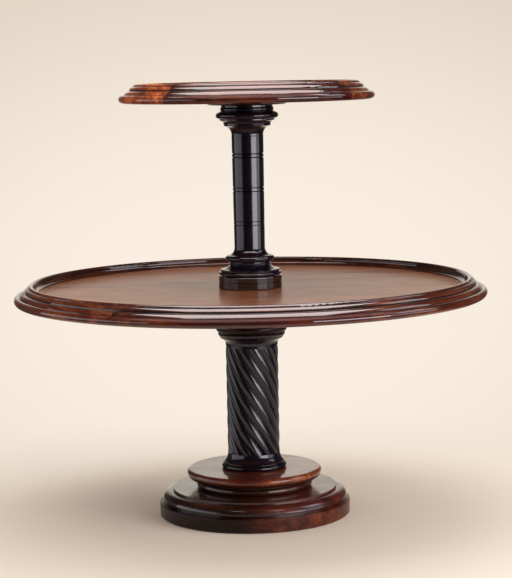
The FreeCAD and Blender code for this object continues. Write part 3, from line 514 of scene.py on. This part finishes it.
def dress_frame():
    """Gives every carried-over node a material."""
    dress_rims()
    dress_mahogany()
    dress(["lower_column"], ebonised("lower_column_ebony", 1))
    dress(["upper_column"], ebonised("upper_column_ebony", 2))
    dress(["foot_screws", "lower_boss_screws", "upper_boss_screws", "upper_pivot_pin"], iron())
    dress(["lower_bearing_washer", "seat_washer", "upper_bearing_washer"], leather())


def make_camera():
    data = bpy.data.cameras.new("photo_camera")
    data.sensor_width = SENSOR
    data.lens = FOCAL_PIXELS * SENSOR / IMAGE_HEIGHT
    data.clip_start, data.clip_end = CAMERA_CLIP
    camera = bpy.data.objects.new("photo_camera", data)
    pitch = Matrix.Rotation(math.radians(90.0 - CAMERA_PITCH), 4, "X")
    roll = Matrix.Rotation(math.radians(CAMERA_ROLL), 4, "Z")
    camera.matrix_world = Matrix.Translation(CAMERA_PLACE) @ pitch @ roll
    bpy.context.scene.collection.objects.link(camera)
    bpy.context.scene.camera = camera


def make_floor():
    """A pale floor that fades into the backdrop, clear under the foot and when seen from below."""
    material, graph = new_material("floor_paper")
    x, y, _z = graph.split(graph.place())
    diffuse = graph.add("ShaderNodeBsdfDiffuse", {"Color": (*FLOOR_COLOUR, 1.0)})
    clear = graph.add("ShaderNodeBsdfTransparent")
    below = graph.add("ShaderNodeNewGeometry").outputs["Backfacing"]
    under_foot = graph.smooth(graph.reach(x, y), *UNDER_FOOT, 1.0, 0.0)
    distance = graph.reach(x, graph.maths("ADD", y, FLOOR_FORWARD))
    unseen = graph.maths("MAXIMUM", graph.smooth(distance, *FLOOR_FADE),
                         graph.maths("MAXIMUM", below, under_foot))
    graph.finish(graph.add("ShaderNodeMixShader", {
        0: unseen, 1: diffuse.outputs[0], 2: clear.outputs[0]}))
    mesh = bpy.data.meshes.new("floor")
    signs = ((-1, -1), (1, -1), (1, 1), (-1, 1))
    corners = [(across * FLOOR_REACH, along * FLOOR_REACH, 0) for across, along in signs]
    mesh.from_pydata(corners, [], [(0, 1, 2, 3)])
    mesh.materials.append(material)
    floor = bpy.data.objects.new("floor", mesh)
    floor.location.z = -FLOOR_DROP
    bpy.context.scene.collection.objects.link(floor)


def make_world():
    """Three surroundings: a pale backdrop for the camera, a pale patch low down behind the table
    in a dark room for the polish to mirror, and a weaker even light on everything."""
    world = bpy.data.worlds.new("studio")
    bpy.context.scene.world = world
    world.use_nodes = True
    graph = Graph(world.node_tree)
    x, y, z = graph.split(graph.add("ShaderNodeTexCoord").outputs["Generated"])
    direction = graph.join(graph.maths("MULTIPLY", x, BACKDROP_SIDEWAYS), y, z)
    away = graph.add("ShaderNodeVectorMath", {0: direction, 1: BACKDROP_AIM}, operation="DISTANCE")
    backdrop = graph.mix(graph.smooth(away.outputs["Value"], *BACKDROP_FADE),
                         BACKDROP_CENTRE, BACKDROP_EDGE)
    behind = graph.smooth(y, *PATCH_BEHIND)
    low = graph.smooth(z, *PATCH_LOW)
    middle = graph.smooth(graph.maths("ABSOLUTE", x), *PATCH_MIDDLE)
    patch = graph.maths("MULTIPLY", graph.maths("MULTIPLY", behind, low), middle)
    path = graph.add("ShaderNodeLightPath")
    shiny = graph.maths("MAXIMUM", path.outputs["Is Glossy Ray"],
                        path.outputs["Is Transmission Ray"])
    colour = graph.mix(shiny, EVEN_LIGHT, graph.mix(patch, MIRRORED_DARK, MIRRORED_PALE))
    colour = graph.mix(path.outputs["Is Camera Ray"], colour, backdrop)
    background = graph.add("ShaderNodeBackground", {"Color": colour, "Strength": 1.0})
    output = graph.add("ShaderNodeOutputWorld")
    graph.tree.links.new(background.outputs[0], output.inputs["Surface"])


def softbox(name, place, target, width, height, radiance, colour, mirrored):
    """A rectangular lamp whose face shines evenly with the given radiance, unseen by the camera.
    It is either mirrored in the polish or gives light, never both."""
    data = bpy.data.lights.new(name, "AREA")
    data.shape = "RECTANGLE"
    data.size = width
    data.size_y = height
    data.energy = radiance * math.pi * width * height
    data.color = colour
    lamp = bpy.data.objects.new(name, data)
    lamp.location = place
    lamp.rotation_euler = (Vector(target) - Vector(place)).to_track_quat("-Z", "Y").to_euler()
    lamp.visible_diffuse = not mirrored
    lamp.visible_glossy = mirrored
    lamp.visible_camera = False
    bpy.context.scene.collection.objects.link(lamp)


def make_lamps():
    """Big soft lamps for the light, and smaller crisp ones for what the polish mirrors."""
    for lamp in LIGHTS:
        softbox(*lamp, WARM_WHITE, mirrored=False)
    for lamp in SHEENS:
        softbox(*lamp, mirrored=True)


dress_frame()
make_camera()
make_floor()
make_world()
make_lamps()
bpy.context.scene.view_settings.view_transform = "Standard"
